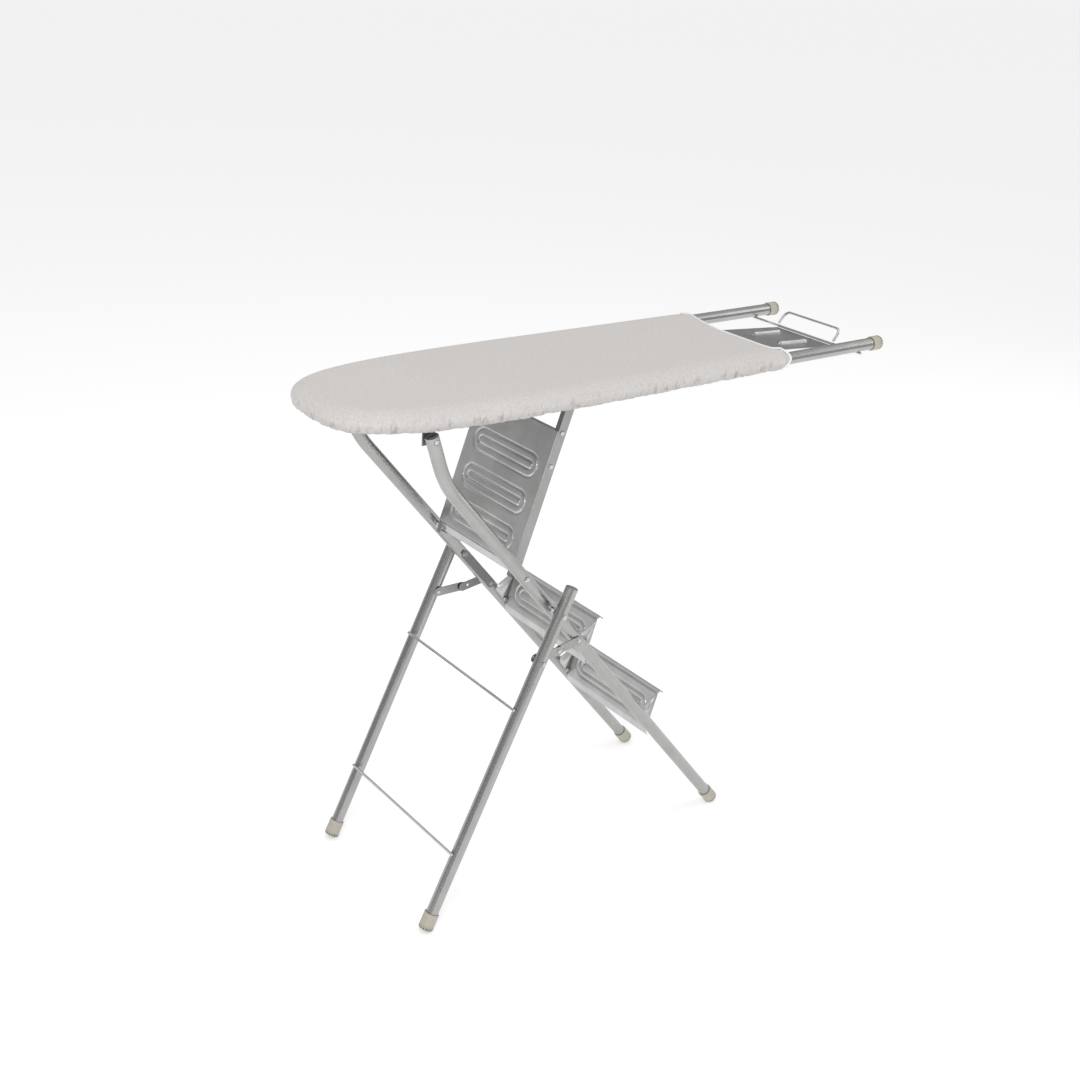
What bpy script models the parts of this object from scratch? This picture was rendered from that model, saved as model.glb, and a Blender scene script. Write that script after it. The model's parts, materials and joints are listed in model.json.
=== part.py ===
"""Folding ironing board that doubles as a three-step ladder.

Metres, +Z up, +X from the round nose towards the iron rest, +Y to the right-hand side.
The origin is at the middle of the footprint on the floor. Left is -Y, right is +Y.
The ladder frame carries two fixed steps. The board, the rear legs and the platform
(the third step, which props the board up) all turn about axes parallel to Y.
"""

import math

import bmesh
import bpy
from mathutils import Matrix, Vector

# ---------------------------------------------------------------- driving dimensions
GAP = 0.0003                    # air between touching pieces
TUBE_R = 0.011
TUBE_WALL = 0.0012
TUBE_BEVEL = 6                  # 16 sides
WIRE_R = 0.0025
SHEET = 0.0012
STEPS_ROUND = 16

MAIN_FOOT_X = 0.2737            # where the ladder tubes' axis meets the floor
MAIN_ANGLE = math.radians(50.0)
MAIN_Y = 0.1305
MAIN_BEND_S = 1.012             # length along the axis to the start of the bend
MAIN_TOP_ANGLE = math.radians(72.0)
MAIN_BEND_R = 0.17
MAIN_TOP_EXTRA = 0.008          # tube beyond the board hinge

REAR_FOOT_X = -0.4282
REAR_ANGLE = math.radians(65.14)
REAR_Y = 0.1606
REAR_LENGTH = 0.643
RUNG_AT = {"upper": 0.417, "lower": 0.147}

HINGE_Z = 0.8755                # board hinge height
PLATFORM_S = 0.795              # platform pivot along the ladder tube
STEP_S = {"lower": 0.285, "upper": 0.541}
STEP_ANGLE = math.radians(73.0)
STEP_HALF = 0.1192
STEP_FLOOR_V = 0.006

PLATFORM_ANGLE = math.radians(71.2)
STRUT_Y = 0.109
STRUT_HALF = 0.0085
STRUT_RETURN = 0.010
STRUT_TIP = 0.3110
STRUT_HEEL = -0.009
ROD_AT = {"lower": 0.184, "upper": 0.241}
CATCH_AT = 0.306
PANEL_TOP = 0.243

LEG_LINK_AT = 0.508             # spreader pivot along the rear leg
FRAME_LINK_AT = 0.610           # spreader pivot along the ladder tube
LINK_MID = (-0.1635, 0.4605)
LINK_HALF = 0.0082

BOARD_NOSE_X = -0.5595
BOARD_TAIL_X = 0.3135
BOARD_HALF = 0.1545
BOARD_TAIL_HALF = 0.1480
NOSE_LENGTH = 0.43
NOSE_POWER = 3.3
TAIL_CORNER = 0.030
TAIL_HOLLOW = 0.028             # how far the tail edge curves in at its middle
COVER_TOP = 0.9250
COVER_THICK = 0.0012
COVER_SKIRT_Z = 0.8905
COVER_HEM = 0.006
BINDING_R = 0.0019
DECK_TOP = 0.9190
DECK_THICK = 0.0012
DECK_INSET = 0.010              # deck and pad stay inside the cover's rounded edge
RAIL_Y = 0.1335
RAIL_Z = 0.906
RAIL_START_X = -0.327
RAIL_CAP_X = 0.5595

CAP_R = 0.0132
CAP_LENGTH = 0.030
RAIL_CAP_LENGTH = 0.022
CAP_FLOOR = 0.004

REST_HALF = 0.072
REST_WIRE_X = 0.5085
REST_PLATE_X = 0.265            # front edge of the plate, hidden under the deck

# rivets: head and shank radii
SHANK_R = 0.003
HOLE_R = 0.0036
HEAD_R = 0.0052


# ---------------------------------------------------------------- scene helpers
def clear_scene():
    for obj in list(bpy.data.objects):
        bpy.data.objects.remove(obj, do_unlink=True)


def new_collection(name):
    collection = bpy.data.collections.new(name)
    bpy.context.scene.collection.children.link(collection)
    return collection


clear_scene()
PARTS = new_collection("ironing_board")
CUTTERS = new_collection("cutters")


def material(name, colour, roughness, metallic):
    mat = bpy.data.materials.new(name)
    mat.use_nodes = True
    bsdf = mat.node_tree.nodes["Principled BSDF"]
    bsdf.inputs["Base Color"].default_value = (*colour, 1.0)
    bsdf.inputs["Roughness"].default_value = roughness
    bsdf.inputs["Metallic"].default_value = metallic
    return mat


MATERIALS = {
    "silver_tube": ((0.55, 0.55, 0.56), 0.38, 0.7),
    "step_steel": ((0.52, 0.52, 0.52), 0.33, 0.9),
    "link_steel": ((0.50, 0.50, 0.51), 0.35, 0.9),
    "rivet_steel": ((0.60, 0.60, 0.60), 0.28, 1.0),
    "wire_chrome": ((0.66, 0.66, 0.67), 0.25, 1.0),
    "cap_rubber": ((0.46, 0.43, 0.36), 0.75, 0.0),
    "deck_steel": ((0.45, 0.45, 0.46), 0.45, 0.8),
    "pad_felt": ((0.80, 0.79, 0.76), 0.95, 0.0),
    "cover_cloth": ((0.62, 0.59, 0.57), 0.85, 0.0),
    "trim_white": ((0.88, 0.88, 0.87), 0.80, 0.0),
}


def finish(obj, slot):
    """Link a part, name its material after the node and give it its own finish."""
    if obj.name not in PARTS.objects:
        PARTS.objects.link(obj)
    colour, roughness, metallic = MATERIALS[slot]
    obj.data.materials.clear()
    obj.data.materials.append(material(obj.name + "_" + slot, colour, roughness, metallic))
    return obj


def mesh_object(name, bm, slot, smooth=30.0):
    mesh = bpy.data.meshes.new(name)
    bmesh.ops.recalc_face_normals(bm, faces=bm.faces[:])
    bm.to_mesh(mesh)
    bm.free()
    obj = bpy.data.objects.new(name, mesh)
    mesh.shade_smooth()
    mesh.set_sharp_from_angle(angle=math.radians(smooth))
    return finish(obj, slot)


def curve_to_mesh(curve_obj, name):
    """Turn an evaluated curve into a welded mesh object and drop the curve."""
    bpy.context.view_layer.update()
    evaluated = curve_obj.evaluated_get(bpy.context.evaluated_depsgraph_get())
    mesh = bpy.data.meshes.new_from_object(evaluated)
    bm = bmesh.new()
    bm.from_mesh(mesh)
    bmesh.ops.remove_doubles(bm, verts=bm.verts[:], dist=1e-6)
    bm.to_mesh(mesh)
    bm.free()
    mesh.name = name
    obj = bpy.data.objects.new(name, mesh)
    obj.matrix_world = curve_obj.matrix_world
    bpy.data.objects.remove(curve_obj, do_unlink=True)
    return obj


def round_curve(name, points, radius, resolution, caps):
    curve = bpy.data.curves.new(name, "CURVE")
    curve.dimensions = "3D"
    curve.bevel_depth = radius
    curve.bevel_resolution = resolution
    curve.use_fill_caps = caps
    spline = curve.splines.new("POLY")
    spline.points.add(len(points) - 1)
    for spot, point in zip(spline.points, points):
        spot.co = (*point, 1.0)
    obj = bpy.data.objects.new(name + "_path", curve)
    bpy.context.scene.collection.objects.link(obj)
    return obj


def hollow_tube(name, points, origin, slot="silver_tube"):
    """Thin-walled tube through the points, with its object origin at a chosen place."""
    local = [Vector(p) - Vector(origin) for p in points]
    obj = curve_to_mesh(round_curve(name, local, TUBE_R, TUBE_BEVEL, False), name)
    obj.location = origin
    wall = obj.modifiers.new("wall", "SOLIDIFY")
    wall.thickness = TUBE_WALL
    wall.offset = -1.0
    obj.data.shade_smooth()
    return finish(obj, slot)


def solid_wire(name, points, radius, origin, slot="wire_chrome"):
    local = [Vector(p) - Vector(origin) for p in points]
    obj = curve_to_mesh(round_curve(name, local, radius, 2, True), name)
    obj.location = origin
    obj.data.shade_smooth()
    obj.data.set_sharp_from_angle(angle=math.radians(50))
    return finish(obj, slot)


def turned(name, profile, location, direction, slot, steps=STEPS_ROUND):
    """Solid of revolution: (radius, height) from the inside axis point round to the base."""
    mesh = bpy.data.meshes.new(name)
    verts = [(r, 0.0, h) for r, h in profile]
    mesh.from_pydata(verts, [(i, i + 1) for i in range(len(verts) - 1)], [])
    obj = bpy.data.objects.new(name, mesh)
    obj.location = location
    obj.rotation_euler = Vector(direction).to_track_quat("Z", "X").to_euler()
    screw = obj.modifiers.new("turn", "SCREW")
    screw.axis = "Z"
    screw.steps = steps
    screw.render_steps = steps
    screw.use_merge_vertices = True
    screw.merge_threshold = 0.00001
    screw.use_smooth_shade = True
    return finish(obj, slot)


def flat_plate(name, outline, holes, thickness, frame, slot):
    """Flat blank: an outline and round or drawn holes, in the XY plane of a frame matrix."""
    curve = bpy.data.curves.new(name, "CURVE")
    curve.dimensions = "2D"
    curve.fill_mode = "BOTH"
    curve.extrude = thickness / 2
    for ring in [outline] + holes:
        spline = curve.splines.new("POLY")
        spline.points.add(len(ring) - 1)
        for spot, (x, y) in zip(spline.points, ring):
            spot.co = (x, y, 0.0, 1.0)
        spline.use_cyclic_u = True
    blank = bpy.data.objects.new(name + "_blank", curve)
    blank.matrix_world = frame
    bpy.context.scene.collection.objects.link(blank)
    obj = curve_to_mesh(blank, name)
    return finish(obj, slot)


def thicken(obj, thickness, offset):
    """Give an open surface an exact sheet thickness on one side of its faces."""
    wall = obj.modifiers.new("sheet", "SOLIDIFY")
    wall.thickness = thickness
    wall.offset = offset
    wall.solidify_mode = "NON_MANIFOLD"
    wall.nonmanifold_thickness_mode = "CONSTRAINTS"
    wall.nonmanifold_merge_threshold = 0.00001
    return wall


def ring(x, y, radius, count=12):
    return [(x + radius * math.cos(a), y + radius * math.sin(a))
            for a in (2 * math.pi * (i + 0.5) / count for i in range(count))]


def drill(obj, x, z, y_from, y_to, radius):
    """Cut a round hole parallel to Y through an object."""
    bpy.ops.mesh.primitive_cylinder_add(vertices=12, radius=radius, depth=abs(y_to - y_from),
                                        location=(x, (y_from + y_to) / 2, z),
                                        rotation=(math.pi / 2, 0.0, 0.0))
    cutter = bpy.context.active_object
    cutter.name = "cut_" + obj.name
    for collection in list(cutter.users_collection):
        collection.objects.unlink(cutter)
    CUTTERS.objects.link(cutter)
    cutter.hide_render = True
    cutter.display_type = "WIRE"
    cut = obj.modifiers.new("hole", "BOOLEAN")
    cut.operation = "DIFFERENCE"
    cut.solver = "EXACT"
    cut.object = cutter


def rivet(name, x, z, side, profile, slot="rivet_steel", steps=12):
    """Rivet or pin parallel to Y: profile heights are distances from the middle plane."""
    points = [(0.0, profile[0][1])] + profile + [(0.0, profile[-1][1])]
    return turned(name, points, (x, 0.0, z), (0.0, side, 0.0), slot, steps)


def domed(outer, inner, radius):
    """Low round head between two distances from the middle plane, outer face rounded."""
    rise = outer - inner
    return [(radius * 0.55, outer), (radius * 0.88, inner + 0.62 * rise), (radius, inner)]


# ---------------------------------------------------------------- frame geometry
MAIN_DIR = Vector((-math.cos(MAIN_ANGLE), 0.0, math.sin(MAIN_ANGLE)))
REAR_DIR = Vector((math.cos(REAR_ANGLE), 0.0, math.sin(REAR_ANGLE)))
SIDES = {"left": -1.0, "right": 1.0}


def main_point(s):
    return Vector((MAIN_FOOT_X, 0.0, 0.0)) + MAIN_DIR * s


def rear_point(t):
    return Vector((REAR_FOOT_X, 0.0, 0.0)) + REAR_DIR * t


def leg_pivot_lengths():
    """Where the two tube axes cross: distances along the ladder tube and the rear leg."""
    span = MAIN_FOOT_X - REAR_FOOT_X
    apart = math.pi - MAIN_ANGLE - REAR_ANGLE
    return (span * math.sin(REAR_ANGLE) / math.sin(apart),
            span * math.sin(MAIN_ANGLE) / math.sin(apart))


PIVOT_S, PIVOT_T = leg_pivot_lengths()
LEG_PIVOT = main_point(PIVOT_S)
PLATFORM_PIVOT = main_point(PLATFORM_S)
LEG_LINK = rear_point(LEG_LINK_AT)
FRAME_LINK = main_point(FRAME_LINK_AT)
LINK_JOINT = Vector((LINK_MID[0], 0.0, LINK_MID[1]))


def main_axis():
    """Axis of a ladder tube from inside its foot cap to just past the board hinge."""
    foot = cap_end_length(MAIN_ANGLE) + CAP_FLOOR + GAP
    points = [main_point(foot), main_point(MAIN_BEND_S)]
    turn = MAIN_TOP_ANGLE - MAIN_ANGLE
    pieces = 6
    here = points[-1]
    for i in range(pieces):
        angle = MAIN_ANGLE + turn * (i + 0.5) / pieces
        step = 2 * MAIN_BEND_R * math.sin(turn / pieces / 2)
        here = here + Vector((-math.cos(angle), 0.0, math.sin(angle))) * step
        points.append(here)
    top = Vector((-math.cos(MAIN_TOP_ANGLE), 0.0, math.sin(MAIN_TOP_ANGLE)))
    hinge = here + top * ((HINGE_Z - here.z) / top.z)
    points.append(hinge + top * MAIN_TOP_EXTRA)
    return points, hinge


def cap_end_length(angle):
    """Distance along a leg from the floor to its cap's flat end, when the rim touches z 0."""
    return CAP_R * math.cos(angle) / math.sin(angle)


MAIN_AXIS, HINGE = main_axis()


def local_frame(origin, angle, y=0.0):
    """Matrix whose X is up the slope, Y is the slope's upper-left normal and Z is -Y."""
    along = Vector((math.cos(angle), 0.0, math.sin(angle)))
    normal = Vector((-math.sin(angle), 0.0, math.cos(angle)))
    across = along.cross(normal)
    matrix = Matrix((along, normal, across)).transposed().to_4x4()
    matrix.translation = Vector((origin[0], y, origin[2]))
    return matrix


# ---------------------------------------------------------------- tubes and feet
def cap_profile(length=CAP_LENGTH):
    """Ribbed rubber cup: inside floor, inside wall, ribbed outside, rounded base."""
    inner = TUBE_R + GAP
    rim = CAP_R - 0.0006
    return [(0.0, CAP_FLOOR), (inner, CAP_FLOOR), (inner, length), (rim, length),
            (rim, 0.009), (CAP_R, 0.0075), (CAP_R, 0.0), (0.0, 0.0)]


def build_ladder_tubes():
    for name, side in SIDES.items():
        y = side * MAIN_Y
        points = [(p.x, y, p.z) for p in MAIN_AXIS]
        tube = hollow_tube("ladder_tube_" + name, points, (LEG_PIVOT.x, y, LEG_PIVOT.z))
        for spot, radius in ((LEG_PIVOT, HOLE_R), (PLATFORM_PIVOT, HOLE_R), (FRAME_LINK, HOLE_R),
                             (HINGE, 0.0046)):
            drill(tube, spot.x, spot.z, side * (MAIN_Y - 0.02), side * (MAIN_Y + 0.02), radius)
        for step in STEP_S:
            spot = step_rivet_point(step)
            drill(tube, spot.x, spot.z, side * (MAIN_Y - 0.02), side * MAIN_Y, 0.0028)
        place = main_point(cap_end_length(MAIN_ANGLE))
        turned("ladder_foot_cap_" + name, cap_profile(), (place.x, y, place.z), MAIN_DIR, "cap_rubber")


def build_rear_legs():
    foot = cap_end_length(REAR_ANGLE)
    for name, side in SIDES.items():
        y = side * REAR_Y
        ends = [rear_point(foot + CAP_FLOOR + GAP), rear_point(REAR_LENGTH)]
        tube = hollow_tube("rear_leg_" + name, [(p.x, y, p.z) for p in ends],
                           (LEG_PIVOT.x, y, LEG_PIVOT.z))
        for spot in (LEG_PIVOT, LEG_LINK):
            drill(tube, spot.x, spot.z, side * (REAR_Y - 0.02), side * (REAR_Y + 0.02), HOLE_R)
        place = rear_point(foot)
        turned("rear_foot_cap_" + name, cap_profile(), (place.x, y, place.z), REAR_DIR, "cap_rubber")
        top = rear_point(REAR_LENGTH + GAP)
        plug = [(0.0, 0.0022), (0.0075, 0.0018), (TUBE_R - 0.0003, 0.0004), (TUBE_R - 0.0003, 0.0),
                (0.0094, 0.0), (0.0094, -0.012), (0.0, -0.012)]
        turned("rear_leg_plug_" + name, plug, (top.x, y, top.z), REAR_DIR, "cap_rubber")
    offset = Vector((-math.sin(REAR_ANGLE), 0.0, math.cos(REAR_ANGLE))) * (TUBE_R + WIRE_R + GAP)
    for name, at in RUNG_AT.items():
        spot = rear_point(at) + offset
        ends = [(spot.x, -REAR_Y - 0.003, spot.z), (spot.x, REAR_Y + 0.003, spot.z)]
        solid_wire("leg_rung_" + name, ends, WIRE_R, tuple(LEG_PIVOT))


# ---------------------------------------------------------------- steps
STEP_RIVET_UV = (0.008, 0.0125)


def step_frame(step):
    return local_frame(main_point(STEP_S[step]), STEP_ANGLE)


def step_rivet_point(step):
    return step_frame(step) @ Vector((STEP_RIVET_UV[0], STEP_RIVET_UV[1], 0.0))


def sheet_from_profile(bm, profile, half):
    """Strip of faces along a (u, v) profile between -half and +half; returns both edge rows."""
    rows = []
    for end in (-half, half):
        rows.append([bm.verts.new((u, v, end)) for u, v in profile])
    for a, b, c, d in zip(rows[0], rows[0][1:], rows[1][1:], rows[1]):
        bm.faces.new((a, b, c, d))
    return rows


def build_step(step):
    """Tread with a bent front strip, a rolled rear lip and two riveted side flanges."""
    v0 = STEP_FLOOR_V
    fold_front = -0.002
    fold_back = 0.066
    lip_r = 0.0075
    lip = [(fold_back + lip_r * math.sin(a), v0 - lip_r * (1 - math.cos(a)))
           for a in (math.radians(d) for d in (30, 60, 90, 120))]
    profile = [(-0.0155, v0 - 0.0095), (-0.0145, v0 - 0.0050), (fold_front, v0), (fold_back, v0)] + lip
    flange = [(0.012, 0.0220), (0.0205, 0.0345), (0.0255, 0.0398), (0.0320, 0.0410),
              (0.0380, 0.0375), (0.0470, 0.0285), (0.0620, 0.0125)]
    bm = bmesh.new()
    half = STEP_HALF
    rows = sheet_from_profile(bm, profile, half)
    for row, end in zip(rows, (-half, half)):
        edge = [bm.verts.new((u, v, end)) for u, v in flange]
        bm.faces.new([row[2]] + edge + [row[3]])
    obj = mesh_object("step_" + step, bm, "step_steel")
    obj.matrix_world = step_frame(step)
    thicken(obj, SHEET, 1.0)
    spot = step_rivet_point(step)
    for side in SIDES.values():
        drill(obj, spot.x, spot.z, side * (half - 0.01), side * (half + 0.01), 0.0028)
    for name, side in SIDES.items():
        inside = half - SHEET - GAP
        body = [(0.0022, half + 0.006), (0.0022, inside), (0.0040, inside), (0.0040, inside - 0.0004),
                (0.0030, inside - 0.0014)]
        rivet("step_rivet_" + step + "_" + name, spot.x, spot.z, side, body)


# ---------------------------------------------------------------- pivots and spreader
def build_leg_pivots():
    inner = MAIN_Y - TUBE_R
    outer = MAIN_Y + TUBE_R
    bar_in = inner - GAP - 0.0020
    for name, side in SIDES.items():
        rear_out = REAR_Y + TUBE_R + GAP
        rear_in = REAR_Y - TUBE_R - GAP
        body = domed(rear_out + 0.0022, rear_out, HEAD_R)
        body += [(SHANK_R, rear_out), (SHANK_R, rear_in), (0.0065, rear_in), (0.0065, outer + GAP),
                 (SHANK_R, outer + GAP), (SHANK_R, bar_in - GAP), (HEAD_R, bar_in - GAP),
                 (HEAD_R * 0.8, bar_in - GAP - 0.0018)]
        rivet("leg_pivot_" + name, LEG_PIVOT.x, LEG_PIVOT.z, side, body)
        along = LEG_PIVOT - FRAME_LINK
        frame = local_frame(FRAME_LINK, math.atan2(along.z, along.x), side * (bar_in + 0.0010))
        outline = stadium(0.0, along.length, LINK_HALF)
        holes = [ring(0.0, 0.0, HOLE_R), ring(along.length, 0.0, HOLE_R)]
        flat_plate("brace_bar_" + name, outline, holes, 0.0020, frame, "link_steel")


def stadium(start, end, radius, arc=6):
    """Outline of a bar with round ends along X."""
    points = []
    for centre, first in ((end, -90.0), (start, 90.0)):
        for i in range(arc + 1):
            angle = math.radians(first + 180.0 * i / arc)
            points.append((centre + radius * math.cos(angle), radius * math.sin(angle)))
    return points


LINK_THICK = 0.0016
FRAME_LINK_IN = MAIN_Y + TUBE_R + GAP
LINK_HEAD_IN = FRAME_LINK_IN + LINK_THICK + GAP
LEG_LINK_IN = LINK_HEAD_IN + 0.0015 + GAP
LEG_LINK_OUT = LEG_LINK_IN + LINK_THICK


def build_spreader():
    """Two flat links on each side; the joint between them is open in the mechanism."""
    for name, side in SIDES.items():
        to_mid = LINK_JOINT - LEG_LINK
        frame = local_frame(LEG_LINK, math.atan2(to_mid.z, to_mid.x),
                            side * (LEG_LINK_IN + LINK_THICK / 2))
        holes = [ring(0.0, 0.0, HOLE_R), ring(to_mid.length, 0.0, HOLE_R)]
        flat_plate("leg_link_" + name, stadium(0.0, to_mid.length, LINK_HALF), holes, LINK_THICK,
                   frame, "link_steel")
        to_frame = FRAME_LINK - LINK_JOINT
        frame = local_frame(FRAME_LINK, math.atan2(-to_frame.z, -to_frame.x),
                            side * (FRAME_LINK_IN + LINK_THICK / 2))
        reach = to_frame.length
        holes = [ring(0.0, 0.0, HOLE_R), ring(reach - 0.0105, 0.0, 0.0026)]
        flat_plate("frame_link_" + name, stadium(0.0, reach, LINK_HALF), holes, LINK_THICK,
                   frame, "link_steel")
        rear_out = REAR_Y + TUBE_R + GAP
        rear_in = REAR_Y - TUBE_R - GAP
        body = domed(rear_out + 0.0020, rear_out, 0.0046)
        body += [(0.0030, rear_out), (0.0030, rear_in), (0.0050, rear_in), (0.0050, LEG_LINK_OUT + GAP),
                 (0.0030, LEG_LINK_OUT + GAP), (0.0030, LEG_LINK_IN - GAP), (0.0038, LEG_LINK_IN - GAP),
                 (0.0032, LEG_LINK_IN - GAP - 0.0012)]
        rivet("leg_link_rivet_" + name, LEG_LINK.x, LEG_LINK.z, side, body)
        body = domed(LEG_LINK_OUT + GAP + 0.0014, LEG_LINK_OUT + GAP, 0.0044)
        body += [(0.0030, LEG_LINK_OUT + GAP), (0.0030, LEG_LINK_IN - GAP),
                 (0.0040, LEG_LINK_IN - GAP), (0.0040, LINK_HEAD_IN)]
        rivet("mid_link_rivet_" + name, LINK_JOINT.x, LINK_JOINT.z, side, body)
        bar_in = MAIN_Y - TUBE_R - GAP - 0.0020
        body = domed(LINK_HEAD_IN + 0.0014, LINK_HEAD_IN, 0.0042)
        body += [(0.0030, LINK_HEAD_IN), (0.0030, bar_in - GAP), (0.0046, bar_in - GAP),
                 (0.0038, bar_in - GAP - 0.0016)]
        rivet("frame_link_rivet_" + name, FRAME_LINK.x, FRAME_LINK.z, side, body)


# ---------------------------------------------------------------- platform
def platform_point(u):
    return PLATFORM_PIVOT + Vector((math.cos(PLATFORM_ANGLE), 0.0, math.sin(PLATFORM_ANGLE))) * u


def build_platform():
    floor_v = STRUT_HALF + GAP + SHEET
    half = STRUT_Y
    tongue = STRUT_Y - STRUT_RETURN - 0.001
    fold = 0.012
    bm = bmesh.new()
    columns = [-half, -tongue, tongue, half]
    rows = [[bm.verts.new((u, floor_v, y)) for y in columns] for u in (fold, PANEL_TOP)]
    for i in range(3):
        bm.faces.new((rows[0][i], rows[0][i + 1], rows[1][i + 1], rows[1][i]))
    front = [rows[0][1:3]]
    for u, v in ((-0.0025, floor_v - 0.0050), (-0.0035, floor_v - 0.0105)):
        front.append([bm.verts.new((u, v, y)) for y in (-tongue, tongue)])
        bm.faces.new((front[-2][0], front[-2][1], front[-1][1], front[-1][0]))
    panel = mesh_object("platform_panel", bm, "step_steel")
    panel.matrix_world = local_frame(PLATFORM_PIVOT, PLATFORM_ANGLE)
    thicken(panel, SHEET, -1.0)

    for name, side in SIDES.items():
        bm = bmesh.new()
        section = [(-STRUT_HALF, STRUT_Y - STRUT_RETURN), (-STRUT_HALF, STRUT_Y),
                   (STRUT_HALF, STRUT_Y), (STRUT_HALF, STRUT_Y - STRUT_RETURN)]
        ends = []
        for u in (STRUT_HEEL, STRUT_TIP):
            ends.append([bm.verts.new((u, v, -side * y)) for v, y in section])
        for i in range(3):
            bm.faces.new((ends[0][i], ends[0][i + 1], ends[1][i + 1], ends[1][i]))
        strut = mesh_object("platform_strut_" + name, bm, "link_steel")
        strut.matrix_world = local_frame(PLATFORM_PIVOT, PLATFORM_ANGLE)
        thicken(strut, SHEET, -1.0)
        for u in (0.0, ROD_AT["lower"], ROD_AT["upper"], CATCH_AT):
            spot = platform_point(u)
            drill(strut, spot.x, spot.z, side * (STRUT_Y - 0.006), side * (STRUT_Y + 0.004), HOLE_R)

        web_in = STRUT_Y - SHEET - GAP
        tube_out = MAIN_Y + TUBE_R + GAP
        body = domed(tube_out + 0.0022, tube_out, HEAD_R)
        body += [(SHANK_R, tube_out), (SHANK_R, MAIN_Y - TUBE_R - GAP),
                 (0.0068, MAIN_Y - TUBE_R - GAP), (0.0068, STRUT_Y + GAP), (SHANK_R, STRUT_Y + GAP),
                 (SHANK_R, web_in), (0.0050, web_in), (0.0042, web_in - 0.0016)]
        rivet("platform_pivot_" + name, PLATFORM_PIVOT.x, PLATFORM_PIVOT.z, side, body)

    out = STRUT_Y + GAP
    for name, at in (("platform_rod_lower", ROD_AT["lower"]), ("platform_rod_upper", ROD_AT["upper"]),
                     ("platform_catch_rod", CATCH_AT)):
        spot = platform_point(at)
        head = domed(out + 0.0014, out, 0.0046) + [(SHANK_R, out)]
        body = head + [(r, -h) for r, h in reversed(head)]
        rivet(name, spot.x, spot.z, 1.0, body)


# ---------------------------------------------------------------- board
def outline_half(inset, count=22):
    """Points of the board's plan from the right tail corner to the nose tip, +Y side."""
    points = []
    shoulder = BOARD_NOSE_X + NOSE_LENGTH
    tail = BOARD_TAIL_X - inset
    corner = TAIL_CORNER
    for i in range(5):
        angle = math.radians(90.0 * i / 4)
        points.append((tail - corner + corner * math.cos(angle),
                       BOARD_TAIL_HALF - inset - corner + corner * math.sin(angle)))
    for i in range(1, count):
        angle = math.pi / 2 * i / count
        x = shoulder - (NOSE_LENGTH - inset) * math.sin(angle) ** (2 / NOSE_POWER)
        y = (BOARD_HALF - inset) * math.cos(angle) ** (2 / NOSE_POWER)
        points.append((x, y))
    points.insert(5, (shoulder, BOARD_HALF - inset))
    points.append((BOARD_NOSE_X + inset, 0.0))
    return points


def side_outline(inset):
    """Plan of the sides and nose, counter-clockwise, from the right tail corner to the left."""
    half = outline_half(inset)
    return half + [(x, -y) for x, y in reversed(half[:-1])]


def tail_x(y, inset):
    """Tail edge at y: hollow, and nearly straight between the flared corners."""
    share = y / (BOARD_TAIL_HALF - TAIL_CORNER)
    return BOARD_TAIL_X - inset - TAIL_HOLLOW * (1 - share ** 6)


def board_outline(inset, count=12):
    """Whole closed plan, with the hollow tail edge."""
    reach = BOARD_TAIL_HALF - TAIL_CORNER - inset
    ys = [reach * (2 * i / count - 1) for i in range(1, count)]
    return side_outline(inset) + [(tail_x(y, inset), y) for y in ys]


def build_board_top():
    deck = Matrix.Translation((0.0, 0.0, DECK_TOP - DECK_THICK / 2))
    obj = flat_plate("board_deck", board_outline(DECK_INSET), [], DECK_THICK, deck,
                     "deck_steel")
    obj.data.shade_flat()
    low = DECK_TOP + GAP
    high = COVER_TOP - COVER_THICK - GAP
    pad = Matrix.Translation((0.0, 0.0, (low + high) / 2))
    flat_plate("board_pad", board_outline(DECK_INSET), [], high - low, pad, "pad_felt")

    rim = board_outline(0.0)
    sides = len(side_outline(0.0))
    hem = side_outline(COVER_HEM)
    bm = bmesh.new()
    top = [bm.verts.new((x, y, COVER_TOP)) for x, y in rim]
    bm.faces.new(top)
    first = 4
    wall = [bm.verts.new((x, y, COVER_SKIRT_Z)) for x, y in rim[first:sides - first]]
    lip = [bm.verts.new((x, y, COVER_SKIRT_Z)) for x, y in hem[first:-first]]
    upper = top[first:sides - first]
    for i in range(len(wall) - 1):
        bm.faces.new((upper[i], upper[i + 1], wall[i + 1], wall[i]))
        bm.faces.new((wall[i], wall[i + 1], lip[i + 1], lip[i]))
    cover = mesh_object("board_cover", bm, "cover_cloth", smooth=40.0)
    thicken(cover, COVER_THICK, -1.0)


def build_binding():
    """White piping round the cover's tail opening, down both corners to the hem."""
    out = BINDING_R + GAP
    flat_half = BOARD_TAIL_HALF - TAIL_CORNER
    half = [(tail_x(flat_half * i / 6, -out), flat_half * i / 6, COVER_TOP - BINDING_R)
            for i in range(6)]
    for i in range(5):
        angle = math.radians(90.0 * i / 4)
        reach = TAIL_CORNER + out
        half.append((BOARD_TAIL_X - TAIL_CORNER + reach * math.cos(angle),
                     BOARD_TAIL_HALF - TAIL_CORNER + reach * math.sin(angle), COVER_TOP - BINDING_R))
    side = BOARD_TAIL_HALF + out
    half.append((BOARD_TAIL_X - TAIL_CORNER - 0.006, side, COVER_TOP - 0.006))
    half.append((BOARD_TAIL_X - TAIL_CORNER - 0.010, side, COVER_TOP - 0.016))
    half.append((BOARD_TAIL_X - TAIL_CORNER - 0.010, side, COVER_SKIRT_Z + BINDING_R))
    path = list(reversed(half)) + [(x, -y, z) for x, y, z in half[1:]]
    solid_wire("cover_binding", path, BINDING_R, (BOARD_TAIL_X, 0.0, COVER_TOP), "trim_white")


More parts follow.
